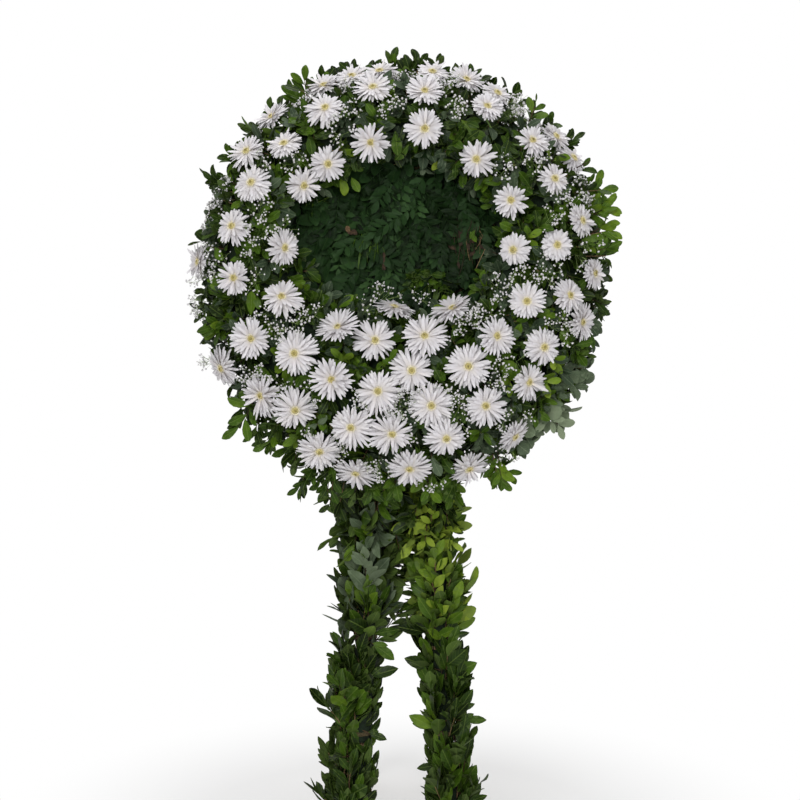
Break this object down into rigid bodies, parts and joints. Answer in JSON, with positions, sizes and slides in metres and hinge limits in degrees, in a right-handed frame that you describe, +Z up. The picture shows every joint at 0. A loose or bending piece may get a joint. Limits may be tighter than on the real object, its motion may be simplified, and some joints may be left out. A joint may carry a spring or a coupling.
{
  "type": "standing memorial wreath",
  "caption": "Domed round wreath of white gerberas and baby's breath in green leaves, on a leaning batten stand with leaf-dressed front legs.",
  "frame": {"origin": "on the floor, under the middle of the object's bounding box", "axes": "+Z up, -Y the way the flowers face, +X to the right as seen from the front"},
  "size_m": [1.0227, 0.7707, 1.9374],
  "materials": {
    "batten": "matte",
    "straw": "matte",
    "leaf": "satin",
    "dark_leaf": "satin",
    "petal": "matte"
  },
  "bodies": {
    "root": {"front_leg_left": "batten", "rear_leg_left": "batten", "side_brace_left": "batten", "front_leg_right": "batten", "rear_leg_right": "batten", "side_brace_right": "batten", "top_block": "batten", "rear_stretcher": "batten", "wreath_rail_upper": "batten", "wreath_rail_lower": "batten", "straw_core": "straw", "gerbera_pick_01": "petal", "gerbera_pick_02": "petal", "gerbera_pick_03": "petal", "gerbera_pick_04": "petal", "gerbera_pick_05": "petal", "gerbera_pick_06": "petal", "gerbera_pick_07": "petal", "gerbera_pick_08": "petal", "gerbera_pick_09": "petal", "gerbera_pick_10": "petal", "gerbera_pick_11": "petal", "gerbera_pick_12": "petal", "gerbera_pick_13": "petal", "gerbera_pick_14": "petal", "gerbera_pick_15": "petal", "gerbera_pick_16": "petal", "gerbera_pick_17": "petal", "gerbera_pick_18": "petal", "gerbera_pick_19": "petal", "gerbera_pick_20": "petal", "gerbera_pick_21": "petal", "gerbera_pick_22": "petal", "gerbera_pick_23": "petal", "gerbera_pick_24": "petal", "gerbera_pick_25": "petal", "gerbera_pick_26": "petal", "gerbera_pick_27": "petal", "gerbera_pick_28": "petal", "gerbera_pick_29": "petal", "gerbera_pick_30": "petal", "gerbera_pick_31": "petal", "gerbera_pick_32": "petal", "gerbera_pick_33": "petal", "gerbera_pick_34": "petal", "field_foliage": "dark_leaf", "ring_foliage_1": "leaf", "ring_foliage_2": "leaf", "ring_foliage_3": "leaf", "ring_foliage_4": "leaf", "ring_foliage_5": "leaf", "ring_foliage_6": "leaf", "collar_bunch_left": "leaf", "leg_bunch_left_1": "leaf", "leg_bunch_left_2": "leaf", "leg_bunch_left_3": "leaf", "collar_bunch_right": "leaf", "leg_bunch_right_1": "leaf", "leg_bunch_right_2": "leaf", "leg_bunch_right_3": "leaf"}
  },
  "joints": []
}
